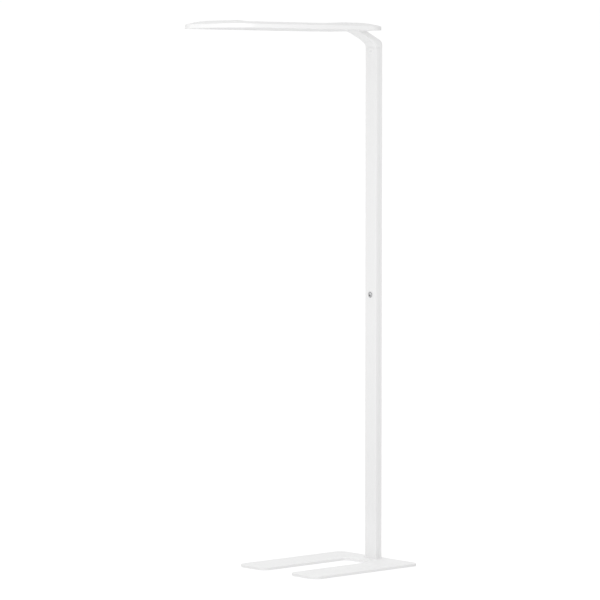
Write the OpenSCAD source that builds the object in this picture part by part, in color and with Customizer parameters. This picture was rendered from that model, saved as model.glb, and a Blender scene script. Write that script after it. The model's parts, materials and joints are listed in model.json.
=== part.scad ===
// Office floor lamp: U-shaped steel base, rectangular extruded post in two
// lengths, forward-bent neck and a thin direct/indirect light head.
// Frame: origin on the floor under the post's axis, +Z up, and the prongs of
// the base and the head both point along -X. Millimetres.

/* [Base] */
// How far the prong tips reach in front of the post axis
base_front = 472; // [450:2:520]
// How far the plate reaches behind the post axis
base_back = 34; // [32:1:60]
// Width of the base across both prongs
base_w = 424; // [400:2:460]
// Thickness of the steel plate
base_t = 8; // [6:1:10]
// Width of the open slot between the prongs
slot_w = 132; // [110:2:150]
// Distance from the post axis to the inner end of the slot
slot_end = 73; // [66:1:90]
// Corner radius of the plate
base_r = 34; // [20:1:40]
// Corner radius at the inner end of the slot
slot_r = 16; // [10:1:20]
// How far the pads stand out below the plate
glide_t = 2; // [1.5:0.5:3]

/* [Post] */
// Post width, side to side
post_w = 58; // [58:1:62]
// Post depth, front to back
post_d = 30; // [30:1:30]
// Wall thickness of the extrusion
wall = 2.4; // [2.4:0.1:2.6]
// Height of the seam between the two lengths
seam_z = 822; // [760:2:860]
// Height of the post's top, where the neck starts
post_top = 1869; // [1869:1:1869]

/* [Controls] */
// Height of the push button
button_z = 975; // [950:1:1100]
// Button travel
button_travel = 1.5; // [1.2:0.1:1.5]
// Height of the sensor window
sensor_z = 1857; // [1857:1:1857]

/* [Head] */
// Front end of the head, in front of the post axis
head_tip = 798; // [780:1:800]
// Rear end of the head, in front of the post axis
head_rear = 63; // [63:1:63]
// Width of the head
head_w = 330; // [330:2:340]
// Corner radius of the head
head_r = 95; // [95:1:95]
// Height of the flat rim
rim_h = 13.5; // [13.5:0.5:13.5]
// Rise of the domed top above the rim
crown = 14; // [14:0.5:14]
// Wall thickness of the top cover
cover_t = 2; // [1.5:0.25:2]

/* [Hidden] */
$fn = 64;

white = "#f1f1ef";
alu = "#c9ccd0";
steel = "#b4b8bc";
chrome = "#d9dcdf";
black = "#2b2b2d";
opal = "#fbfbf8";
pcb = "#e9ede8";

plate_z = glide_t;              // underside of the plate
plate_top = glide_t + base_t;   // the post stands here
px = post_d / 2;
py = post_w / 2;
cav_x0 = -px + wall;            // front chamber, front to back
cav_x1 = 4;
web_x1 = 6;                     // web between chamber and rear channel
cav_y = py - wall;
cover_y = 22;                   // half-width of the rear opening
gap = 0.1;                      // hairline at the seams
gland_z = 90;
head_z = 1929;                  // underside of the head
rim_z = head_z + rim_h;
top_z = rim_z + crown;
hy = head_w / 2;
rho = (head_r * head_r + crown * crown) / (2 * crown);
win = 36.5;                     // inset of the uplight window
win_x0 = -716;
win_x1 = -214;
skin = 1.5;                     // underside skin of the head frame
ap_y = hy - 20;                 // half-width of the downlight aperture
ap_x0 = -head_tip + 20;
ap_x1 = -152;
lg_z = head_z + skin + 2;       // light guide sits on the diffuser
ch_z = head_z + 8;              // underside of the chassis
ch_top = ch_z + 2;
bracket_t = 4;
screw_y = 14;                   // rear channel screws
joint_len = 80;                 // joiner reach each side of the seam
// chassis screw positions, x then y
chassis_pts = [
  [-640, hy - 7.5], [-435, hy - 7.5], [-230, hy - 7.5],
  [-640, 7.5 - hy], [-435, 7.5 - hy], [-230, 7.5 - hy],
  [7.5 - head_tip, 45], [7.5 - head_tip, -45],
  [-head_rear - 7.5, 55], [-head_rear - 7.5, -55]
];
// top cover screw positions: x, y, height of the screw head
cover_pts = [
  [-742, 60, rim_z + 10.6], [-742, -60, rim_z + 10.6],
  [-188, 100, rim_z + 12.3], [-188, -100, rim_z + 12.3]
];
head_screw_pts = [[-71, 20], [-71, -20], [-87, 20], [-87, -20]];
base_screw_pts = [[-8.4, 19], [-8.4, -19], [0.1, 8], [0.1, -8]];
foot_lock_z = 47;
// small screws through the web: two for the mains terminal, four for the driver
web_screw_pts = [[-4.75, 69], [4.75, 69], [-11, 115.5], [11, 115.5], [-11, 484.5], [11, 484.5]];

// ---------- shared shapes ----------

// rectangle with round corners, from corner to corner
module rrect(x0, x1, y0, y1, r) {
  translate([x0 + r, y0]) square([x1 - x0 - 2 * r, y1 - y0]);
  translate([x0, y0 + r]) square([x1 - x0, y1 - y0 - 2 * r]);
  for (x = [x0 + r, x1 - r], y = [y0 + r, y1 - r]) translate([x, y]) circle(r);
}

module slab(z0, z1) { translate([0, 0, z0]) linear_extrude(z1 - z0) children(); }

// plan of the head, drawn in by d
module head_plan(d) { rrect(-head_tip + d, -head_rear - d, -hy + d, hy - d, head_r - d); }

// plan of the downlight aperture, drawn out by d
module aperture(d) {
  rrect(ap_x0 - d, -320, -ap_y - d, ap_y + d, 75 + d);
  rrect(-480, ap_x1 + d, -ap_y - d, ap_y + d, 18 + d);
}

// plan of the uplight window, drawn out by d
module window_plan(d) {
  rrect(win_x0 - d, win_x1 + d, -hy + win - d, hy - win + d, 10 + d);
}

// cylinder along X from x0 to x1
module xcyl(x0, x1, y, z, r) {
  translate([x0, y, z]) rotate([0, 90, 0]) cylinder(r = r, h = x1 - x0);
}

// countersunk screw: head face at z 0, pointing down
module csk(hr, r, len) {
  difference() {
    union() {
      translate([0, 0, -(hr - r)]) cylinder(r1 = r, r2 = hr, h = hr - r);
      translate([0, 0, -len]) cylinder(r = r, h = len - (hr - r) + 0.01);
    }
    translate([0, 0, -r * 0.7]) cylinder(r = r * 0.62, h = r, $fn = 6);
  }
}

// cap screw: head stands on z 0, shank points down
module pan(hr, hh, r, len) {
  difference() {
    union() {
      cylinder(r = hr, h = hh);
      translate([0, 0, -len]) cylinder(r = r, h = len + 0.01);
    }
    translate([0, 0, hh - r * 0.7]) cylinder(r = r * 0.6, h = r, $fn = 6);
  }
}

// the same cap screw, driven forwards (towards -X) from the rear channel
module rear_pan(y, z, len) { translate([web_x1, y, z]) rotate([0, 90, 0]) pan(4.2, 2.6, 2.5, len); }

// ---------- swept leads ----------

// rounds the corners of a route
function bends(p, r, n) = [p[0],
  for (i = [1 : len(p) - 2])
    let (a = p[i - 1], b = p[i], c = p[i + 1],
         u = (a - b) / norm(a - b), v = (c - b) / norm(c - b))
    for (k = [0 : n]) let (t = k / n)
      (1 - t) * (1 - t) * (b + u * r) + 2 * t * (1 - t) * b + t * t * (b + v * r),
  p[len(p) - 1]];
function unit(v) = v / norm(v);
function dirs(p) = [for (i = [0 : len(p) - 1])
  unit(p[min(i + 1, len(p) - 1)] - p[max(i - 1, 0)])];

// round tube of radius r along the points p; ref is never along the route
module tube(p, r, ref = [0, 1, 0], n = 8) {
  d = dirs(p);
  pts = [for (i = [0 : len(p) - 1])
    let (u = unit(cross(d[i], ref)), v = cross(d[i], u))
    for (k = [0 : n - 1]) p[i] + r * (cos(360 * k / n) * u + sin(360 * k / n) * v)];
  m = len(p);
  polyhedron(points = pts, convexity = 6, faces = concat(
    [[for (k = [0 : n - 1]) k]],
    [[for (k = [n - 1 : -1 : 0]) (m - 1) * n + k]],
    [for (i = [0 : m - 2], k = [0 : n - 1])
      [i * n + k, (i + 1) * n + k, (i + 1) * n + (k + 1) % n, i * n + (k + 1) % n]]));
}

// ---------- base ----------

module base_plan() {
  difference() {
    rrect(-base_front, base_back, -base_w / 2, base_w / 2, base_r);
    // open slot, with round inner corners
    translate([-base_front - 10, -slot_w / 2])
      square([base_front + 10 - slot_end - slot_r, slot_w]);
    rrect(-base_front / 2, -slot_end, -slot_w / 2, slot_w / 2, slot_r);
    // round inner corners at the prong tips
    for (s = [-1, 1]) difference() {
      translate([-base_front - 5, s > 0 ? slot_w / 2 - 1 : -slot_w / 2 - base_r])
        square([base_r + 5, base_r + 1]);
      translate([-base_front + base_r, s * (slot_w / 2 + base_r)]) circle(base_r);
    }
  }
}

glide_pts = [[-446, 139], [-446, -139], [-215, 139], [-215, -139], [6, 182], [6, -182]];

module base_plate() {
  color(white) difference() {
    slab(plate_z, plate_top) base_plan();
    // pad recesses
    for (p = glide_pts) translate([p[0], p[1], plate_z - 1]) cylinder(r = 12.2, h = 2);
    translate([0, 0, plate_z - 1]) cylinder(r = 28.2, h = 2);
    // countersunk holes under the post
    for (p = base_screw_pts) {
      translate([p[0], p[1], plate_z]) cylinder(r = 3.3, h = base_t + 1);
      translate([p[0], p[1], plate_z + 1]) cylinder(r1 = 6.3, r2 = 3.3, h = 3);
    }
  }
}

module base_glides() {
  color(black) for (p = glide_pts) translate([p[0], p[1], 0]) {
    cylinder(r1 = 11.4, r2 = 12, h = 0.6);
    translate([0, 0, 0.6]) cylinder(r = 12, h = glide_t + 0.4);
  }
}

module screw_cover_pad() {
  color(black) {
    cylinder(r1 = 27.4, r2 = 28, h = 0.6);
    translate([0, 0, 0.6]) cylinder(r = 28, h = glide_t + 0.35);
  }
}

module base_screws() {
  color(steel) for (p = base_screw_pts)
    translate([p[0], p[1], plate_z + 1.1]) mirror([0, 0, 1]) csk(6, 2.95, 32);
}

// ---------- post ----------

module post_section() {
  difference() {
    rrect(-px, px, -py, py, 2);
    // front chamber
    translate([cav_x0, -cav_y]) square([cav_x1 - cav_x0, 2 * cav_y]);
    // rear cable channel and its opening
    translate([web_x1, -cav_y]) square([px - 2 - web_x1, 2 * cav_y]);
    translate([web_x1, -cover_y]) square([px, 2 * cover_y]);
    // shadow groove along both sides
    for (s = [-1, 1]) translate([2.4, s * py])
      polygon([[-2.2, s * 0.1], [-0.9, -s * 1.1], [0.9, -s * 1.1], [0.9, s * 0.1]]);
  }
}

module lower_post() {
  color(white) difference() {
    slab(plate_top, seam_z - gap) post_section();
    // window behind the inlet, and the holes that the leads pass
    translate([cav_x1 - 1, -12, 74]) cube([4, 24, 34]);
    for (p = web_screw_pts) xcyl(3, 8, p[0], p[1], 1.7);
    translate([cav_x1 - 1, -11, 496]) cube([4, 22, 26]);
    for (s = [-1, 1]) xcyl(3, 8, s * 9, foot_lock_z, 2.6);
    for (s = [-1, 1]) xcyl(3, 8, s * screw_y, seam_z - 40, 2.6);
  }
}

module upper_post() {
  color(white) difference() {
    slab(seam_z, post_top - gap) post_section();
    xcyl(-px - 1, -px + 4, 0, button_z, 9.6);
    xcyl(-px - 1, -px + 4, 0, sensor_z, 8);
    for (s = [-1, 1]) xcyl(3, 8, s * screw_y, seam_z + 40, 2.6);
    for (s = [-1, 1], z = [post_top - 54, post_top - 36]) xcyl(3, 8, s * screw_y, z, 2.6);
    translate([cav_x1 - 1, -9, button_z - 50]) cube([4, 6, 22]);
    xcyl(3, 8, 6, 1850, 2.2);
  }
}

module post_foot() {
  color(alu) difference() {
    translate([cav_x0 + 0.1, -cav_y + 0.2, plate_top]) cube([cav_x1 - cav_x0 - 0.2, 2 * cav_y - 0.4, 52]);
    for (p = base_screw_pts) translate([p[0], p[1], plate_top - 1]) cylinder(r = 3, h = 28);
    for (s = [-1, 1]) xcyl(-8, 8, s * 9, foot_lock_z, 2.55);
  }
}

module foot_lock_screws() { color(steel) for (s = [-1, 1]) rear_pan(s * 9, foot_lock_z, 12); }

module post_joiner() {
  color(alu) difference() {
    translate([cav_x0 + 0.1, -cav_y + 0.2, seam_z - joint_len])
      cube([cav_x1 - cav_x0 - 0.2, 2 * cav_y - 0.4, 2 * joint_len]);
    translate([cav_x0 + 4, -8, seam_z - joint_len - 1]) cube([8.4, 16, 2 * joint_len + 2]);
    for (s = [-1, 1], z = [-40, 40]) xcyl(-8, 8, s * screw_y, seam_z + z, 2.55);
  }
}

module joiner_screws() {
  color(steel) for (s = [-1, 1], z = [-40, 40]) rear_pan(s * screw_y, seam_z + z, 12);
}

// snap-in strip with two legs that hook behind the rear flanges
strip_half = [[px, cover_y - 0.15], [px - 2, cover_y - 0.15], [px - 2, 20.8], [px - 2.15, 20.8],
  [px - 2.15, 22.8], [11, 20.8], [8, 20.8], [8, 19.6], [px - 2, 19.6]];
module cover_strip(z0, z1) {
  slab(z0, z1) polygon(concat(strip_half,
    [for (i = [len(strip_half) - 1 : -1 : 0]) [strip_half[i][0], -strip_half[i][1]]]));
}

module lower_cable_cover() {
  color(white) difference() {
    cover_strip(plate_top + 0.2, seam_z - gap);
    xcyl(7, 18, 0, gland_z, 6.1);
  }
}

module upper_cable_cover() { color(white) cover_strip(seam_z, post_top - gap); }

// ---------- electrics in the post ----------

// bushing for the mains lead, open right through
module inlet_gland() {
  color(black) translate([0, 0, gland_z]) rotate([0, 90, 0]) difference() {
    union() {
      translate([0, 0, 9]) cylinder(r = 6, h = 8);
      translate([0, 0, 15]) cylinder(r = 8.5, h = 2.5);
      translate([0, 0, 17.5]) cylinder(r1 = 7, r2 = 5.8, h = 6.5);
      translate([0, 0, 11.4]) cylinder(r1 = 6, r2 = 7, h = 1.5);
    }
    translate([0, 0, 8]) cylinder(r = 5, h = 7);
    translate([0, 0, 14]) cylinder(r = 4, h = 12);
  }
}

module mains_terminal() {
  color(opal) difference() {
    translate([cav_x1 - 11, -15, 64]) cube([11, 30, 22]);
    // wire entries face the window, fixing holes below them
    for (y = [-9.5, 0, 9.5]) xcyl(-4, 5, y, 80, 1.6);
    for (i = [0, 1]) xcyl(-6, 5, web_screw_pts[i][0], web_screw_pts[i][1], 1.55);
  }
}

module mains_wires() {
  color("#3a5fa8") for (y = [-9.5, 0, 9.5])
    translate([-2, y, 86]) cylinder(r = 1.3, h = 34);
}

module led_driver() {
  color(alu) difference() {
    union() {
      translate([cav_x1 - 14.5, -15, 120]) cube([14.5, 30, 360]);
      for (z = [111, 480]) translate([cav_x1 - 2, -15, z]) cube([2, 30, 9]);
    }
    for (i = [2 : 5]) xcyl(0, 6, web_screw_pts[i][0], web_screw_pts[i][1], 1.55);
  }
}

module web_screws() {
  color(steel) for (i = [0 : 5]) translate([web_x1, web_screw_pts[i][0], web_screw_pts[i][1]])
    rotate([0, 90, 0]) pan(2.8, 1.8, 1.5, i < 2 ? 7 : 4.5);
}

led_route = [[-5, 0, 480], [-5, 0, 496], [9.5, 0, 520], [9.5, 0, 1200], [9.5, 0, 1881],
  [1, 0, 1890.5], [-60, 0, 1917.5], [-90, 0, 1927], [-90, 0, 1944.5], [-112, 22, 1944.5], [-145, 40, 1944.5], [-171, 40, 1944.5]];
module led_cable() { color(black) tube(bends(led_route, 5, 4), 2); }

signal_route = [[-5, 7, 480], [-5, 7, 500], [9.5, 6, 516], [9.5, 6, 1200], [9.5, 6, 1850], [-5.7, 6, 1850]];
module signal_cable() { color("#d8d8d4") tube(bends(signal_route, 4, 3), 1.5); }

switch_route = [[-5, -7, 480], [-5, -7, 500], [9.5, -6, 516], [9.5, -6, 905], [9.5, -6, 920], [1.9, -6, 942], [1.9, -6, 955]];
module switch_lead() { color("#d8d8d4") tube(bends(switch_route, 4, 3), 1.5); }

// ---------- push button ----------

module button_bezel() {
  color(chrome) translate([0, 0, button_z]) rotate([0, 90, 0]) difference() {
    union() {
      translate([0, 0, -16]) cylinder(r = 12, h = 1);
      translate([0, 0, -17]) cylinder(r1 = 10.6, r2 = 12, h = 1);
      translate([0, 0, -15.01]) cylinder(r = 9.5, h = 11.01);
    }
    translate([0, 0, -18]) cylinder(r = 7.75, h = 15);
    translate([0, 0, -17.01]) cylinder(r1 = 8.25, r2 = 7.75, h = 0.5);
    translate([0, 0, -12.5]) cylinder(r = 8.5, h = 9);
  }
}

module bezel_nut() {
  color(steel) translate([cav_x0, 0, button_z]) rotate([0, 90, 0]) difference() {
    cylinder(r = 13, h = 3, $fn = 6);
    translate([0, 0, -1]) cylinder(r = 9.55, h = 5);
  }
}

module button_cap() {
  color(chrome) translate([0, 0, button_z]) rotate([0, 90, 0]) difference() {
    union() {
      translate([0, 0, -17.2]) cylinder(r = 7.45, h = 5);
      translate([0, 0, -17.6]) cylinder(r1 = 7.05, r2 = 7.45, h = 0.4);
      translate([0, 0, -12.3]) cylinder(r = 8.15, h = 1.5);
      // the pin stops 0.4 short of the contact at full travel
      translate([0, 0, -10.81]) cylinder(r = 2, h = 7.2 - button_travel);
    }
    // shallow dish for the finger, turned so that the sphere's poles are outside it
    translate([0, 0, -17.6 - 35]) rotate([90, 0, 0]) sphere(r = 35.6, $fn = 128);
  }
}

spring_turns = 4;
spring_path = [for (i = [0 : 12 * spring_turns]) let (a = 360 * i / 12)
  [-10.35 + 3.85 * i / (12 * spring_turns), 5 * cos(a), button_z + 5 * sin(a)]];
module button_spring() { color(steel) tube(spring_path, 0.4, [1, 0, 0], 6); }

module switch_body() {
  color(black) difference() {
    union() {
      xcyl(-6, -3.9, 0, button_z, 8.3);
      translate([-4, -11, button_z - 11]) cube([6.4, 22, 22]);
    }
    xcyl(-7, -3.2, 0, button_z, 2.6);
  }
}

module switch_board() {
  color("#2f6b46") difference() {
    translate([2.5, -16, button_z - 20]) cube([1.2, 32, 40]);
    for (y = [-12, 12]) xcyl(2, 5, y, button_z + 16, 1.6);
  }
}

// ---------- sensor ----------

// window outline, wider than tall
module sensor_slot(d) {
  for (s = [-1, 1]) translate([0, s * 4.5]) circle(2.6 + d);
  translate([-2.6 - d, -4.5]) square([5.2 + 2 * d, 9]);
}

module sensor_bezel() {
  color(white) translate([0, 0, sensor_z]) rotate([0, 90, 0]) difference() {
    union() {
      translate([0, 0, -15.9]) cylinder(r = 12, h = 0.9);
      translate([0, 0, -16.4]) cylinder(r1 = 11.3, r2 = 12, h = 0.5);
      translate([0, 0, -15.01]) cylinder(r = 7.9, h = 3.5);
    }
    translate([0, 0, -18]) linear_extrude(8) sensor_slot(0.15);
  }
}

module sensor_lens() {
  color("#6a6d70") translate([0, 0, sensor_z]) rotate([0, 90, 0]) {
    translate([0, 0, -16.1]) linear_extrude(4.8) sensor_slot(0);
    translate([0, 0, -11.4]) cylinder(r = 7.6, h = 0.8);
  }
}

module sensor_element() { color(steel) xcyl(-10.4, -6.9, 0, sensor_z, 4.1); }

module sensor_board() {
  color("#2f6b46") translate([-6.9, -13, sensor_z - 12]) cube([1.2, 26, 22]);
}

// ---------- neck ----------

function arc(cx, cz, r, a0, a1, n) = [for (i = [0 : n]) let (a = a0 + (a1 - a0) * i / n)
  [cx + r * cos(a), cz + r * sin(a)]];
neck_low = 31;                  // slope of the front face after the bend
neck_x = -36;
neck_zx = 1871 + 20 * sin(90 - neck_low) + (-neck_x - 35 + 20 * cos(90 - neck_low)) * tan(neck_low);
// outline seen from the side: front face up, across the top, rear face down
neck_outline = concat(
  [[-px, post_top]],
  arc(-px - 20, 1871, 20, 0, 90 - neck_low, 9),
  arc(neck_x - 340 * sin(neck_low), neck_zx - 340 * cos(neck_low), 340, 90 - neck_low, 72.6, 8),
  [[-112.7, head_z], [-62.9, head_z]],
  arc(px - 23, 1877.5, 23, 64.6, 0, 10),
  [[px, post_top]]);

module side_extrude(w) { rotate([90, 0, 0]) linear_extrude(w, center = true) children(); }

passage = [[9.5, 1866], [9.5, 1881], [1, 1890.5], [-60, 1917.5], [-90, 1927], [-90, 1932]];
// one side of a mitred band of half-width r along the points p
function side_of(p, i) = let (v = unit(p[min(i + 1, len(p) - 1)] - p[min(i, len(p) - 2)])) [-v[1], v[0]];
function band(p, r) = [for (i = [0 : len(p) - 1])
  let (a = side_of(p, max(i - 1, 0)), b = side_of(p, i)) p[i] + r * (a + b) / (1 + a * b)];
module passage_plan(r) { polygon(concat(band(passage, r), back(band(passage, -r)))); }

module neck() {
  color(white) difference() {
    union() {
      side_extrude(post_w) polygon(neck_outline);
      // spigot inside the post
      translate([cav_x0 + 0.1, -cav_y + 0.2, post_top - 70])
        cube([cav_x1 - cav_x0 - 0.2, 2 * cav_y - 0.4, 72]);
    }
    side_extrude(10) passage_plan(3.3);
    // pocket behind the sensor, and the hole for its lead
    translate([cav_x0 - 1, -14, sensor_z - 15]) cube([7.9, 28, 26.9]);
    xcyl(-6, 5, 6, 1850, 2.2);
    for (s = [-1, 1], z = [post_top - 54, post_top - 36]) xcyl(-8, 8, s * screw_y, z, 2.55);
    for (p = head_screw_pts) translate([p[0], p[1], head_z - 6.3]) cylinder(r = 2.55, h = 10);
  }
}

module neck_screws() {
  color(steel) for (s = [-1, 1], z = [post_top - 54, post_top - 36]) rear_pan(s * screw_y, z, 12);
}

module neck_bracket() {
  color(steel) difference() {
    slab(head_z + skin, head_z + skin + bracket_t) rrect(-140, -67.5, -48, 48, 6);
    for (p = head_screw_pts) translate([p[0], p[1], head_z]) cylinder(r = 2.75, h = 10);
    slab(head_z, head_z + 10) rrect(-97, -83, -6, 6, 4);
  }
}

module head_screws() {
  color(steel) for (p = head_screw_pts)
    translate([p[0], p[1], head_z + skin + bracket_t]) pan(4.2, 2.3, 2.5, 11.3);
}

// ---------- head: lower half ----------

module head_frame() {
  color(white) difference() {
    union() {
      difference() {
        slab(head_z, rim_z) head_plan(0);
        slab(head_z + skin, rim_z + 1) head_plan(3);
      }
      // bosses for the chassis
      for (p = chassis_pts) translate([p[0], p[1], head_z + 1]) cylinder(r = 4, h = ch_z - head_z - 1);
      // ribs that back the edge lighting
      for (s = [-1, 1]) translate([-690, s > 0 ? 151.9 : -153.4, head_z + 1]) cube([510, 1.5, 6.6]);
    }
    slab(head_z - 1, head_z + skin + 1) aperture(0);
    for (p = chassis_pts) translate([p[0], p[1], head_z + 2.5]) cylinder(r = 1.55, h = 10);
    for (p = head_screw_pts) translate([p[0], p[1], head_z - 1]) cylinder(r = 2.75, h = 4);
    slab(head_z - 1, head_z + skin + 1) rrect(-97, -83, -6, 6, 4);
  }
}

module down_diffuser() {
  color(opal) slab(head_z + skin, lg_z) aperture(4.7);
}

module light_guide() {
  color("#e8f1f4") slab(lg_z, lg_z + 4) aperture(4.5);
}

module reflector_sheet() {
  color(white) slab(lg_z + 4, lg_z + 4.5) aperture(4.5);
}

module edge_led_boards() {
  color(pcb) for (s = [-1, 1]) translate([-690, s > 0 ? 150.6 : -151.8, lg_z + 0.1]) cube([510, 1.2, 4]);
}

module edge_leds() {
  color("#f4e9a8") for (s = [-1, 1], i = [0 : 23])
    translate([-680 + i * 21, s > 0 ? 149.7 : -150.6, lg_z + 0.6]) cube([5.6, 0.9, 3]);
}

module mid_chassis() {
  color(alu) difference() {
    slab(ch_z, ch_top) head_plan(3.3);
    for (p = chassis_pts) translate([p[0], p[1], ch_z - 1]) cylinder(r = 1.7, h = 4);
    for (p = cover_pts) translate([p[0], p[1], ch_z - 1]) cylinder(r = 1.7, h = 4);
    slab(ch_z - 1, ch_top + 1) rrect(-98, -82, -7, 7, 5);
  }
}

module chassis_screws() {
  color(steel) for (p = chassis_pts) translate([p[0], p[1], ch_top]) pan(2.8, 1.7, 1.5, 7.2);
}

// ---------- head: upper half ----------

module uplight_boards() {
  color(pcb) for (s = [-1, 1]) translate([-700, s > 0 ? 40 : -80, ch_top]) cube([470, 40, 1.6]);
}

module uplight_leds() {
  color("#f4e9a8") for (s = [-1, 1], i = [0 : 15])
    translate([-690 + i * 29.6, s * 60 - 1.75, ch_top + 1.6]) cube([2.8, 3.5, 0.8]);
}

module uplight_frame() {
  color(opal) difference() {
    slab(ch_top, rim_z + 4.5) window_plan(8);
    slab(ch_top - 1, rim_z + 5) window_plan(2);
    slab(rim_z + 2, rim_z + 5) window_plan(5.4);
    translate([-212, 50, ch_top - 1]) cube([12, 12, 3.6]);
  }
}

module uplight_diffuser() {
  color(opal) slab(rim_z + 2, rim_z + 4.5) window_plan(5.2);
}

module terminal_block() {
  color(opal) difference() {
    translate([-200, 24, ch_top]) cube([35, 36, 10]);
    for (y = [30, 38, 46, 54]) {
      translate([-172, y, ch_top + 4]) cylinder(r = 2, h = 8);
      translate([-192, y, ch_top + 4]) cylinder(r = 2, h = 8);
    }
    // sockets for the incoming lead
    xcyl(-172, -160, 40, ch_top + 5.5, 2.4);
  }
}

module board_jumper() {
  color(pcb) translate([-240, 52, ch_top + 1.6]) cube([40, 8, 0.6]);
}

// half-section of the domed top, drawn in by d: r runs out from the corner
// centre to the edge, along a large circle that is level at r = 0
dome_n = 8;
function dome_edge(d) = sqrt(pow(rho - d, 2) - pow(rho - crown, 2));
function dome_arc(d) = [for (i = [0 : dome_n]) let (r = dome_edge(d) * i / dome_n)
  [r, top_z - rho + sqrt(pow(rho - d, 2) - r * r)]];
function back(p) = [for (i = [len(p) - 1 : -1 : 0]) p[i]];
shell_section = concat(dome_arc(0), back(dome_arc(cover_t)));
solid_section = concat(dome_arc(cover_t / 2), [[dome_edge(cover_t / 2), rim_z], [0, rim_z]]);

// sweeps a half-section round the head: four corners, four sides
module sweep_head(section) {
  x0 = -head_tip + head_r;
  x1 = -head_rear - head_r;
  y0 = hy - head_r;
  for (c = [[x1, y0, 0], [x0, y0, 90], [x0, -y0, 180], [x1, -y0, 270]])
    translate([c[0], c[1], 0]) rotate(c[2]) rotate_extrude(angle = 90) polygon(section);
  for (c = [[x1, -y0, 0, 2 * y0], [x0, y0, 180, 2 * y0], [x0, -y0, 270, x1 - x0], [x1, y0, 90, x1 - x0]])
    translate([c[0], c[1], 0]) rotate(c[2]) rotate([90, 0, 0]) mirror([0, 0, 1])
      linear_extrude(c[3]) polygon(section);
}

module head_middle(z0, z1) {
  slab(z0, z1) translate([-head_tip + head_r, head_r - hy])
    square([head_tip - head_rear - 2 * head_r, head_w - 2 * head_r]);
}

module top_cover() {
  color(white) difference() {
    union() {
      sweep_head(shell_section);
      head_middle(top_z - cover_t, top_z);
      // collar round the window, and the screw bosses
      intersection() {
        union() {
          slab(rim_z + 4.6, top_z) difference() { window_plan(2); window_plan(0); }
          for (p = cover_pts) translate([p[0], p[1], rim_z + 6.5]) cylinder(r = 4.5, h = 12);
        }
        union() {
          sweep_head(solid_section);
          head_middle(rim_z, top_z - cover_t / 2);
        }
      }
    }
    slab(rim_z - 1, top_z + 1) window_plan(0);
    for (p = cover_pts) {
      translate([p[0], p[1], rim_z]) cylinder(r = 1.7, h = 20);
      translate([p[0], p[1], p[2] - 1.4]) cylinder(r1 = 1.7, r2 = 3.1, h = 1.4);
      translate([p[0], p[1], p[2] - 0.01]) cylinder(r = 3.1, h = 6);
    }
  }
}

module cover_standoffs() {
  color(steel) for (p = cover_pts) translate([p[0], p[1], ch_top]) difference() {
    cylinder(r = 3.2, h = rim_z + 6.5 - ch_top, $fn = 6);
    translate([0, 0, -1]) cylinder(r = 1.5, h = 20);
  }
}

module cover_screws() {
  color(steel) for (p = cover_pts) translate([p[0], p[1], p[2]]) csk(2.9, 1.45, 9);
}

base_plate();
base_glides();
screw_cover_pad();
base_screws();
post_foot();
foot_lock_screws();
lower_post();
upper_post();
post_joiner();
joiner_screws();
lower_cable_cover();
upper_cable_cover();
inlet_gland();
mains_terminal();
mains_wires();
led_driver();
web_screws();
led_cable();
signal_cable();
switch_lead();
button_bezel();
bezel_nut();
button_cap();
button_spring();
switch_body();
switch_board();
sensor_bezel();
sensor_lens();
sensor_element();
sensor_board();
neck();
neck_screws();
neck_bracket();
head_screws();
head_frame();
down_diffuser();
light_guide();
reflector_sheet();
edge_led_boards();
edge_leds();
mid_chassis();
chassis_screws();
uplight_boards();
uplight_leds();
uplight_frame();
uplight_diffuser();
terminal_block();
board_jumper();
top_cover();
cover_standoffs();
cover_screws();
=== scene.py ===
import json
import math

import bmesh
import bpy
from mathutils import Matrix, Vector


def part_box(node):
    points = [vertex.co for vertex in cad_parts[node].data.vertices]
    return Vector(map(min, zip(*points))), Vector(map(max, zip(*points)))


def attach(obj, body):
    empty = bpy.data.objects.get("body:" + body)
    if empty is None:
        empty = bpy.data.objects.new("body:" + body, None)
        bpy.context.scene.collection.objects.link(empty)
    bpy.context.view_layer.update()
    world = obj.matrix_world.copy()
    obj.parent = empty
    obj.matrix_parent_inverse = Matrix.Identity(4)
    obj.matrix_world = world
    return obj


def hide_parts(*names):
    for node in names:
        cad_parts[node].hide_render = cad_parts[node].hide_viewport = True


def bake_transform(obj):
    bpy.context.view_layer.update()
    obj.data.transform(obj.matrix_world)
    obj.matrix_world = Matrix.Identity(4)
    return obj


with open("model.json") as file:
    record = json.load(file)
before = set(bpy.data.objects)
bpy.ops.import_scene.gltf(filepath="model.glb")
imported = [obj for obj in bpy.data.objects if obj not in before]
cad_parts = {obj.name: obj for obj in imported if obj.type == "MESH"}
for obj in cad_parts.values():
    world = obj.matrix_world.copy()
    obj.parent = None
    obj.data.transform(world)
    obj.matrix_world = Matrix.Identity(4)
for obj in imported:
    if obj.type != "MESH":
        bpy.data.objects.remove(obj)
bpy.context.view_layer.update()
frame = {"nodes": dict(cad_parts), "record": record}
nodes = frame["nodes"]

scene = bpy.context.scene
scene.view_settings.view_transform = "Standard"
scene.view_settings.look = "None"
scene.view_settings.exposure = 0.0
scene.view_settings.gamma = 1.0


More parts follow.
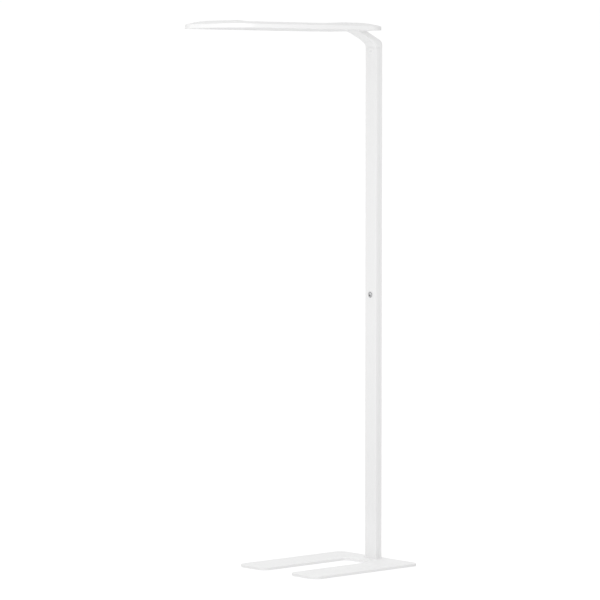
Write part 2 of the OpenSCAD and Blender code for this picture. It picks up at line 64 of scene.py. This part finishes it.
# ------------------------------------------------------------------ camera
def place_camera():
    """The photograph's viewpoint: a long lens, a little below the head, looking slightly down."""
    az, pitch = math.radians(41.33), math.radians(3.65)
    focal_px, depth, shift_x, shift_z = 3102.67, 11.35138, 0.26775, -0.9530
    fwd = Vector((math.sin(az) * math.cos(pitch), math.cos(az) * math.cos(pitch), -math.sin(pitch)))
    right = Vector((math.cos(az), -math.sin(az), 0.0))
    up = right.cross(fwd)
    place = -(right * shift_x + up * shift_z + fwd * depth)
    data = bpy.data.cameras.new("photo_camera")
    data.sensor_fit = "HORIZONTAL"
    data.sensor_width = 36.0
    data.lens = focal_px / 600.0 * 36.0
    data.clip_start, data.clip_end = 0.05, 500.0
    cam = bpy.data.objects.new("photo_camera", data)
    rot = Matrix((right, up, -fwd)).transposed().to_4x4()
    cam.matrix_world = Matrix.Translation(place) @ rot
    scene.collection.objects.link(cam)
    scene.camera = cam


place_camera()


# ------------------------------------------------------------------ materials
def tree(name):
    mat = bpy.data.materials.new(name)
    mat.use_nodes = True
    nt = mat.node_tree
    return mat, nt, nt.nodes["Principled BSDF"]


def add(nt, kind, **values):
    node = nt.nodes.new(kind)
    for key, value in values.items():
        if key in node.inputs:
            node.inputs[key].default_value = value
        else:
            setattr(node, key, value)
    return node


def coords(nt, stretch=(1, 1, 1)):
    where = add(nt, "ShaderNodeTexCoord")
    if stretch == (1, 1, 1):
        return where.outputs["Object"]
    mapping = add(nt, "ShaderNodeMapping")
    mapping.inputs["Scale"].default_value = stretch
    nt.links.new(where.outputs["Object"], mapping.inputs["Vector"])
    return mapping.outputs["Vector"]


def noise(nt, scale, detail=2.0, rough=0.5, stretch=(1, 1, 1)):
    n = add(nt, "ShaderNodeTexNoise", Scale=scale, Detail=detail, Roughness=rough)
    nt.links.new(coords(nt, stretch), n.inputs["Vector"])
    return n.outputs["Fac"]


def spread(nt, value, lo, hi, from_lo=0.3, from_hi=0.7):
    m = add(nt, "ShaderNodeMapRange")
    m.inputs["From Min"].default_value = from_lo
    m.inputs["From Max"].default_value = from_hi
    m.inputs["To Min"].default_value = lo
    m.inputs["To Max"].default_value = hi
    nt.links.new(value, m.inputs["Value"])
    return m.outputs["Result"]


def two_tone(nt, value, dark, light, from_lo=0.3, from_hi=0.7):
    mix = add(nt, "ShaderNodeMix", data_type="RGBA")
    mix.inputs["A"].default_value = (*dark, 1)
    mix.inputs["B"].default_value = (*light, 1)
    for i in mix.inputs:
        if i.type == "RGBA" and i.name == "A":
            i.default_value = (*dark, 1)
        if i.type == "RGBA" and i.name == "B":
            i.default_value = (*light, 1)
    nt.links.new(spread(nt, value, 0, 1, from_lo, from_hi), mix.inputs["Factor"])
    return [o for o in mix.outputs if o.type == "RGBA"][0]


def bump(nt, height, strength, distance, under=None):
    b = add(nt, "ShaderNodeBump", Strength=strength, Distance=distance)
    nt.links.new(height, b.inputs["Height"])
    if under is not None:
        nt.links.new(under, b.inputs["Normal"])
    return b.outputs["Normal"]


def shade(c, k):
    return tuple(x * k for x in c)


def powder(name, colour, rough=0.46, grain=1100.0, depth=0.00006, variation=0.012, coat=0.0, painted_upright_shade=1.0):
    """Powder coat: fine orange peel over a nearly even colour; the last argument is painted shade, a factor that
    darkens the upright faces as if less light fell on them.
    """
    mat, nt, bsdf = tree(name)
    cloud = noise(nt, 4.0, 3.0, 0.55)
    tone = two_tone(nt, cloud, shade(colour, 1 - variation), colour)
    # painted shade: the colour of faces that stand upright (normal near level) is multiplied down by the factor
    if painted_upright_shade != 1.0:
        facing = add(nt, "ShaderNodeNewGeometry")
        split = add(nt, "ShaderNodeSeparateXYZ")
        nt.links.new(facing.outputs["True Normal"], split.inputs["Vector"])
        flat = add(nt, "ShaderNodeMath", operation="ABSOLUTE")
        nt.links.new(split.outputs["Z"], flat.inputs[0])
        upright_shade_mix = add(nt, "ShaderNodeMix", data_type="RGBA", blend_type="MULTIPLY")
        colour_in = [i for i in upright_shade_mix.inputs if i.type == "RGBA"]
        nt.links.new(spread(nt, flat.outputs[0], 1.0, 0.0, 0.3, 0.9), upright_shade_mix.inputs["Factor"])
        nt.links.new(tone, colour_in[0])
        colour_in[1].default_value = (painted_upright_shade, painted_upright_shade, painted_upright_shade, 1)
        tone = [o for o in upright_shade_mix.outputs if o.type == "RGBA"][0]
    nt.links.new(tone, bsdf.inputs["Base Color"])
    peel = noise(nt, grain, 2.0, 0.6)
    soft = noise(nt, grain * 0.22, 2.0, 0.5)
    nt.links.new(spread(nt, noise(nt, 60.0, 3.0), rough - 0.03, rough + 0.03), bsdf.inputs["Roughness"])
    first = bump(nt, soft, 0.12, depth * 2)
    nt.links.new(bump(nt, peel, 0.25, depth, first), bsdf.inputs["Normal"])
    bsdf.inputs["IOR"].default_value = 1.5
    if coat:
        bsdf.inputs["Coat Weight"].default_value = coat
        bsdf.inputs["Coat Roughness"].default_value = 0.25
    return mat


def metal(name, colour, rough=0.32, stretch=(1, 1, 1), scale=900.0, depth=0.00002, spread_by=0.06):
    """Plated, drawn or milled metal: fine lines along one direction."""
    mat, nt, bsdf = tree(name)
    bsdf.inputs["Metallic"].default_value = 1.0
    lines = noise(nt, scale, 3.0, 0.6, stretch)
    nt.links.new(two_tone(nt, lines, shade(colour, 0.9), colour), bsdf.inputs["Base Color"])
    nt.links.new(spread(nt, lines, rough - spread_by, rough + spread_by), bsdf.inputs["Roughness"])
    nt.links.new(bump(nt, lines, 0.2, depth), bsdf.inputs["Normal"])
    return mat


def moulded(name, colour, rough=0.5, grain=1600.0, depth=0.00004, variation=0.05):
    """Moulded plastic with a fine spark-eroded grain."""
    mat, nt, bsdf = tree(name)
    nt.links.new(
        two_tone(nt, noise(nt, 25.0, 3.0), shade(colour, 1 - variation), colour), bsdf.inputs["Base Color"]
    )
    grainy = noise(nt, grain, 3.0, 0.6)
    nt.links.new(spread(nt, grainy, rough - 0.05, rough + 0.05), bsdf.inputs["Roughness"])
    nt.links.new(bump(nt, grainy, 0.3, depth), bsdf.inputs["Normal"])
    bsdf.inputs["IOR"].default_value = 1.48
    return mat


def rubber(name, colour):
    mat, nt, bsdf = tree(name)
    nt.links.new(two_tone(nt, noise(nt, 180.0, 4.0), shade(colour, 0.8), colour), bsdf.inputs["Base Color"])
    nt.links.new(spread(nt, noise(nt, 500.0, 4.0), 0.72, 0.9), bsdf.inputs["Roughness"])
    nt.links.new(bump(nt, noise(nt, 1400.0, 4.0), 0.4, 0.00008), bsdf.inputs["Normal"])
    bsdf.inputs["IOR"].default_value = 1.45
    return mat


def opal(name, colour, rough, pitch):
    """Opal panel with a fine moulded prism pattern; pitch is the prism's size in metres."""
    mat, nt, bsdf = tree(name)
    cells = add(nt, "ShaderNodeTexVoronoi", Scale=1.0 / pitch, Randomness=0.0)
    nt.links.new(coords(nt), cells.inputs["Vector"])
    nt.links.new(
        two_tone(nt, cells.outputs["Distance"], shade(colour, 0.975), colour, 0.1, 0.6), bsdf.inputs["Base Color"]
    )
    nt.links.new(spread(nt, noise(nt, 30.0, 2.0), rough - 0.03, rough + 0.03), bsdf.inputs["Roughness"])
    nt.links.new(bump(nt, cells.outputs["Distance"], 0.3, pitch * 0.12), bsdf.inputs["Normal"])
    bsdf.inputs["IOR"].default_value = 1.49
    bsdf.inputs["Specular IOR Level"].default_value = 0.25
    bsdf.inputs["Subsurface Weight"].default_value = 0.25
    bsdf.inputs["Subsurface Radius"].default_value = (1.0, 1.0, 1.0)
    bsdf.inputs["Subsurface Scale"].default_value = 0.002
    return mat


def solder_mask(name, colour, track):
    """Circuit board: a mask with faint straight tracks under it."""
    mat, nt, bsdf = tree(name)
    wave = add(nt, "ShaderNodeTexWave", Scale=220.0, Distortion=4.0, Detail=1.0)
    wave.bands_direction = "Y"
    nt.links.new(coords(nt), wave.inputs["Vector"])
    nt.links.new(two_tone(nt, wave.outputs["Fac"], colour, track, 0.55, 0.7), bsdf.inputs["Base Color"])
    nt.links.new(bump(nt, wave.outputs["Fac"], 0.2, 0.00003), bsdf.inputs["Normal"])
    nt.links.new(spread(nt, noise(nt, 80.0), 0.28, 0.38), bsdf.inputs["Roughness"])
    return mat


def phosphor(name, colour):
    mat, nt, bsdf = tree(name)
    cells = add(nt, "ShaderNodeTexVoronoi", Scale=900.0)
    nt.links.new(coords(nt), cells.inputs["Vector"])
    nt.links.new(
        two_tone(nt, cells.outputs["Distance"], shade(colour, 0.85), colour, 0.0, 0.6), bsdf.inputs["Base Color"]
    )
    nt.links.new(bump(nt, cells.outputs["Distance"], 0.2, 0.00003), bsdf.inputs["Normal"])
    nt.links.new(spread(nt, noise(nt, 200.0), 0.12, 0.22), bsdf.inputs["Roughness"])
    return mat


def acrylic(name, colour):
    """Clear light guide with a printed dot grid that scatters the light downwards."""
    mat, nt, bsdf = tree(name)
    dots = add(nt, "ShaderNodeTexVoronoi", Scale=260.0, Randomness=0.0)
    nt.links.new(coords(nt), dots.inputs["Vector"])
    nt.links.new(two_tone(nt, dots.outputs["Distance"], (0.93, 0.94, 0.94), colour, 0.32, 0.36), bsdf.inputs["Base Color"])
    nt.links.new(spread(nt, dots.outputs["Distance"], 0.55, 0.06, 0.32, 0.36), bsdf.inputs["Roughness"])
    nt.links.new(spread(nt, dots.outputs["Distance"], 0.1, 0.9, 0.32, 0.36), bsdf.inputs["Transmission Weight"])
    bsdf.inputs["IOR"].default_value = 1.49
    return mat


def chrome(name, colour, rough=0.07):
    mat, nt, bsdf = tree(name)
    bsdf.inputs["Metallic"].default_value = 1.0
    haze = noise(nt, 140.0, 3.0)
    nt.links.new(two_tone(nt, haze, shade(colour, 0.97), colour), bsdf.inputs["Base Color"])
    nt.links.new(spread(nt, noise(nt, 900.0, 3.0), rough - 0.02, rough + 0.03), bsdf.inputs["Roughness"])
    nt.links.new(bump(nt, noise(nt, 2600.0, 2.0), 0.05, 0.00001), bsdf.inputs["Normal"])
    return mat


MATERIALS = {
    # the base plate's upright sides get painted shade: their colour times 0.92
    "base_paint": powder("base_powder_white", (0.775, 0.775, 0.775), 0.55, 900.0, 0.00008, 0.008, painted_upright_shade=0.92),
    "post_paint": powder("post_powder_white", (0.736, 0.736, 0.736), 0.45, 1100.0, 0.00006),
    "head_paint": powder("head_powder_white", (0.77, 0.77, 0.77), 0.5, 1300.0, 0.00005),
    "cover_paint": powder("cover_powder_white", (0.76, 0.76, 0.76), 0.55, 1300.0, 0.00005),
    "pad_rubber": rubber("pad_rubber_black", (0.035, 0.035, 0.036)),
    "screw_steel": metal("screw_zinc", (0.62, 0.63, 0.65), 0.3),
    "bracket_steel": metal("bracket_zinc_sheet", (0.66, 0.67, 0.69), 0.34, (1, 6, 1), 260.0),
    "bare_alu": metal("alu_mill", (0.78, 0.79, 0.80), 0.36, (1, 1, 0.03), 1200.0),
    "button_metal": chrome("button_chrome", (0.80, 0.805, 0.815)),
    "bezel_metal": chrome("bezel_nickel", (0.87, 0.87, 0.88), 0.1),
    "spring_steel": metal("spring_wire", (0.58, 0.59, 0.61), 0.24, (1, 1, 1), 2600.0),
    "gland_plastic": moulded("gland_black", (0.03, 0.03, 0.031), 0.48),
    "switch_plastic": moulded("switch_black", (0.035, 0.035, 0.037), 0.42),
    "terminal_plastic": moulded("terminal_ivory", (0.80, 0.80, 0.77), 0.45),
    "cable_sheath": moulded("cable_black", (0.035, 0.035, 0.037), 0.5, 700.0, 0.00006),
    "signal_sheath": moulded("signal_grey", (0.62, 0.62, 0.60), 0.5, 700.0, 0.00006),
    "wire_blue": moulded("wire_blue", (0.05, 0.13, 0.42), 0.42, 900.0, 0.00004),
    "circuit_green": solder_mask("board_green", (0.02, 0.14, 0.06), (0.035, 0.22, 0.09)),
    "circuit_white": solder_mask("board_white", (0.84, 0.85, 0.83), (0.76, 0.77, 0.74)),
    "led_phosphor": phosphor("led_phosphor", (0.90, 0.72, 0.22)),
    "opal_panel": opal("down_opal_prism", (0.70, 0.70, 0.70), 0.55, 0.0024),
    "uplight_panel": opal("uplight_opal", (0.86, 0.86, 0.86), 0.4, 0.0030),
    "clear_panel": acrylic("guide_acrylic", (0.93, 0.96, 0.965)),
    "reflector_white": moulded("reflector_film", (0.92, 0.92, 0.92), 0.62, 400.0, 0.00003, 0.01),
    "bezel_plastic": moulded("bezel_white", (0.775, 0.775, 0.775), 0.36, 1500.0, 0.00003, 0.02),
    "sensor_window": moulded("sensor_smoke", (0.74, 0.74, 0.74), 0.3, 2200.0, 0.00001, 0.05),
    "sensor_can": metal("sensor_nickel", (0.7, 0.69, 0.66), 0.22),
}

slot_of = {s["node"]: s["material_slot"] for s in frame["record"]["subparts"]}
for name, obj in nodes.items():
    mat = MATERIALS[slot_of[name]]
    if not obj.material_slots:
        obj.data.materials.append(mat)
    for s in obj.material_slots:
        s.material = mat


# ------------------------------------------------------------------ rounded edges
def soften(name, width, segments=2, angle=38.0):
    """Small broken edges on a metal or moulded part, which the modelled solid has sharp."""
    obj = nodes[name]
    weld = obj.modifiers.new("weld", "WELD")
    weld.merge_threshold = 1e-6
    bev = obj.modifiers.new("edges", "BEVEL")
    bev.width = width
    bev.segments = segments
    bev.limit_method = "ANGLE"
    bev.angle_limit = math.radians(angle)
    bev.use_clamp_overlap = True
    bev.miter_outer = "MITER_ARC"
    bev.harden_normals = False
    wn = obj.modifiers.new("normals", "WEIGHTED_NORMAL")
    wn.mode = "FACE_AREA_WITH_ANGLE"
    wn.weight = 50
    wn.keep_sharp = False


for name, width in (
    ("base_plate", 0.0008),
    ("head_frame", 0.0008),
):
    soften(name, width)


def make_neck():
    """The cast neck with its long edges rounded as the post's corners are; its top stays flat on the head."""
    src = nodes["neck"]
    mesh = src.data.copy()
    mesh.name = "neck_cast"
    obj = bpy.data.objects.new("neck_cast", mesh)
    scene.collection.objects.link(obj)
    bm = bmesh.new()
    bm.from_mesh(mesh)
    bmesh.ops.remove_doubles(bm, verts=bm.verts, dist=1e-6)
    bmesh.ops.dissolve_limit(bm, angle_limit=math.radians(0.2), verts=bm.verts, edges=bm.edges)
    top = max(v.co.z for v in bm.verts)
    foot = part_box("upper_post")[1].z
    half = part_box("neck")[1].y
    long_edges = []
    for e in bm.edges:
        if len(e.link_faces) != 2 or e.calc_face_angle(0.0) < math.radians(40):
            continue
        a, b = (v.co for v in e.verts)
        outside = abs(abs(a.y) - half) < 2e-5 and abs(abs(b.y) - half) < 2e-5
        if outside and a.y * b.y > 0 and min(a.z, b.z) > foot - 1e-5 and not (a.z > top - 1e-5 and b.z > top - 1e-5):
            long_edges.append(e)
    bmesh.ops.bevel(bm, geom=long_edges, offset=0.0016, offset_type="OFFSET", segments=3, profile=0.5,
                    affect="EDGES", clamp_overlap=True, miter_outer="ARC")
    bm.to_mesh(mesh)
    bm.free()
    for f in mesh.polygons:
        f.use_smooth = True
    mesh.set_sharp_from_angle(angle=math.radians(32))
    mesh.materials.clear()
    mesh.materials.append(MATERIALS[slot_of["neck"]])
    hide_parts("neck")
    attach(obj, "root")


make_neck()


# ------------------------------------------------------------------ button spring
def tube_mesh(name, points, radius, sides=12, caps=True):
    """A round wire along points, with rings that turn with the path."""
    bm = bmesh.new()
    rings = []
    ref = None
    for i, p in enumerate(points):
        a = points[max(i - 1, 0)]
        b = points[min(i + 1, len(points) - 1)]
        d = (b - a).normalized()
        if ref is None:
            ref = d.orthogonal().normalized()
        u = (ref - d * ref.dot(d)).normalized()
        v = d.cross(u)
        ref = u
        rings.append([
            bm.verts.new(p + u * (radius * math.cos(2 * math.pi * k / sides)) + v * (radius * math.sin(2 * math.pi * k / sides)))
            for k in range(sides)
        ])
    for r0, r1 in zip(rings, rings[1:]):
        for k in range(sides):
            bm.faces.new((r0[k], r0[(k + 1) % sides], r1[(k + 1) % sides], r1[k]))
    if caps:
        bm.faces.new(list(reversed(rings[0])))
        bm.faces.new(rings[-1])
    bmesh.ops.recalc_face_normals(bm, faces=bm.faces)
    mesh = bpy.data.meshes.new(name)
    bm.to_mesh(mesh)
    bm.free()
    for f in mesh.polygons:
        f.use_smooth = len(f.vertices) == 4
    obj = bpy.data.objects.new(name, mesh)
    scene.collection.objects.link(obj)
    return obj


def make_spring():
    lo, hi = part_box("button_spring")
    cy, cz = (lo.y + hi.y) / 2, (lo.z + hi.z) / 2
    wire = 0.0004
    x0, x1 = lo.x + wire, hi.x - wire
    r = (hi.y - lo.y) / 2 - wire
    turns, steps = 4.5, 36
    pts = []
    total = int(turns * steps)
    for i in range(total + 1):
        t = i / total
        # the end turns lie flat, the middle ones are spread
        s = min(max((t - 0.12) / 0.76, 0.0), 1.0)
        s = 0.06 * (t / 0.12 if t < 0.12 else 1.0) + 0.88 * s + 0.06 * ((t - 0.88) / 0.12 if t > 0.88 else 0.0)
        a = 2 * math.pi * turns * t
        pts.append(Vector((x0 + (x1 - x0) * s, cy + r * math.cos(a), cz + r * math.sin(a))))
    spring = tube_mesh("spring_coil", pts, wire)
    spring.data.materials.append(MATERIALS["spring_steel"])
    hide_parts("button_spring")
    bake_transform(spring)


make_spring()


# ------------------------------------------------------------------ studio
def make_floor():
    mesh = bpy.data.meshes.new("studio_floor")
    s = 60.0
    mesh.from_pydata([(-s, -s, 0), (s, -s, 0), (s, s, 0), (-s, s, 0)], [], [(0, 1, 2, 3)])
    floor = bpy.data.objects.new("studio_floor", mesh)
    scene.collection.objects.link(floor)
    mat, nt, bsdf = tree("floor_white")
    bsdf.inputs["Base Color"].default_value = (0.45, 0.45, 0.45, 1)
    bsdf.inputs["Roughness"].default_value = 0.9
    bsdf.inputs["Specular IOR Level"].default_value = 0.1
    bsdf.inputs["Emission Color"].default_value = (1, 1, 1, 1)
    bsdf.inputs["Emission Strength"].default_value = 0.57
    mesh.materials.append(mat)


def make_world():
    """An even white studio, a little darker on the right."""
    world = bpy.data.worlds.new("studio")
    scene.world = world
    world.use_nodes = True
    nt = world.node_tree
    nt.nodes.clear()
    out = nt.nodes.new("ShaderNodeOutputWorld")
    back = nt.nodes.new("ShaderNodeBackground")
    nt.links.new(back.outputs[0], out.inputs[0])
    where = nt.nodes.new("ShaderNodeTexCoord")

    def dot(v):
        n = nt.nodes.new("ShaderNodeVectorMath")
        n.operation = "DOT_PRODUCT"
        nt.links.new(where.outputs["Generated"], n.inputs[0])
        n.inputs[1].default_value = Vector(v).normalized()
        return n.outputs["Value"]

    def ramp(value, a, b, lo, hi, smooth=True):
        m = nt.nodes.new("ShaderNodeMapRange")
        if smooth:
            m.interpolation_type = "SMOOTHSTEP"
        m.inputs["From Min"].default_value = a
        m.inputs["From Max"].default_value = b
        m.inputs["To Min"].default_value = lo
        m.inputs["To Max"].default_value = hi
        nt.links.new(value, m.inputs["Value"])
        return m.outputs["Result"]

    def multiply(a, b):
        n = nt.nodes.new("ShaderNodeMath")
        n.operation = "MULTIPLY"
        nt.links.new(a, n.inputs[0])
        nt.links.new(b, n.inputs[1])
        return n.outputs[0]

    side = multiply(
        ramp(dot((-0.85, -0.52, 0.0)), 0.0, 1.0, 1.02, 0.98, smooth=False),
        ramp(dot((0.0, 0.0, 1.0)), 0.15, 0.75, 1.0, 1.08),
    )
    shade_side = multiply(
        ramp(dot((0.92, -0.39, 0.0)), 0.43, 0.92, 1.0, 0.46),
        ramp(dot((-0.6, 0.8, 0.0)), 0.3, 0.95, 1.0, 0.84),
    )
    behind = ramp(dot((-0.7, -0.7, 0.0)), 0.75, 1.0, 1.0, 0.82)
    nt.links.new(multiply(multiply(side, shade_side), behind), back.inputs["Strength"])
    back.inputs["Color"].default_value = (1, 1, 1, 1)


def make_softbox(size, energy, place, aim):
    """A soft light on the camera's left that the lamp's glosses don't mirror."""
    data = bpy.data.lights.new("softbox_left", "AREA")
    data.shape = "RECTANGLE"
    data.size, data.size_y = size
    data.energy = energy
    place_lamp(data, place, aim)


def make_snoot(energy, place, aim):
    """A narrow light on the corner of post and base, which is as bright as the rest in the photo."""
    data = bpy.data.lights.new("snoot_foot", "SPOT")
    data.spot_size = math.radians(6.0)
    data.spot_blend = 1.0
    data.shadow_soft_size = 0.12
    data.energy = energy
    place_lamp(data, place, aim)


def place_lamp(data, place, aim):
    lamp = bpy.data.objects.new(data.name, data)
    place, aim = Vector(place), Vector(aim)
    lamp.visible_camera = False
    lamp.visible_glossy = False
    lamp.location = place
    lamp.rotation_euler = (aim - place).to_track_quat("-Z", "Y").to_euler()
    bpy.context.scene.collection.objects.link(lamp)


def make_flag():
    """A dark card beside the lamp that only the bright metal and the glosses mirror."""
    mesh = bpy.data.meshes.new("studio_flag")
    far = 2.0
    turns = ((130.0, 0.0), (150.0, 0.0), (150.0, 2.3), (120.0, 2.3))
    corners = [Vector((math.cos(math.radians(t)) * far, math.sin(math.radians(t)) * far, z)) for t, z in turns]
    mesh.from_pydata(corners, [], [(0, 1, 2, 3)])
    card = bpy.data.objects.new("studio_flag", mesh)
    scene.collection.objects.link(card)
    mat, nt, bsdf = tree("flag_grey")
    split = add(nt, "ShaderNodeSeparateXYZ")
    nt.links.new(coords(nt), split.inputs["Vector"])
    nt.links.new(spread(nt, split.outputs["Z"], 0.6, 0.10, 0.7, 1.15), bsdf.inputs["Base Color"])
    bsdf.inputs["Roughness"].default_value = 0.9
    bsdf.inputs["Specular IOR Level"].default_value = 0.1
    mesh.materials.append(mat)
    card.visible_camera = card.visible_diffuse = card.visible_shadow = card.visible_transmission = False


make_floor()
make_world()
make_softbox((1.4, 1.0), 26.0, (-2.5, -1.6, 1.9), (-0.2, 0.0, 1.6))
make_snoot(46.0, (-1.7, -1.5, 1.1), (-0.02, 0.0, 0.03))
make_flag()
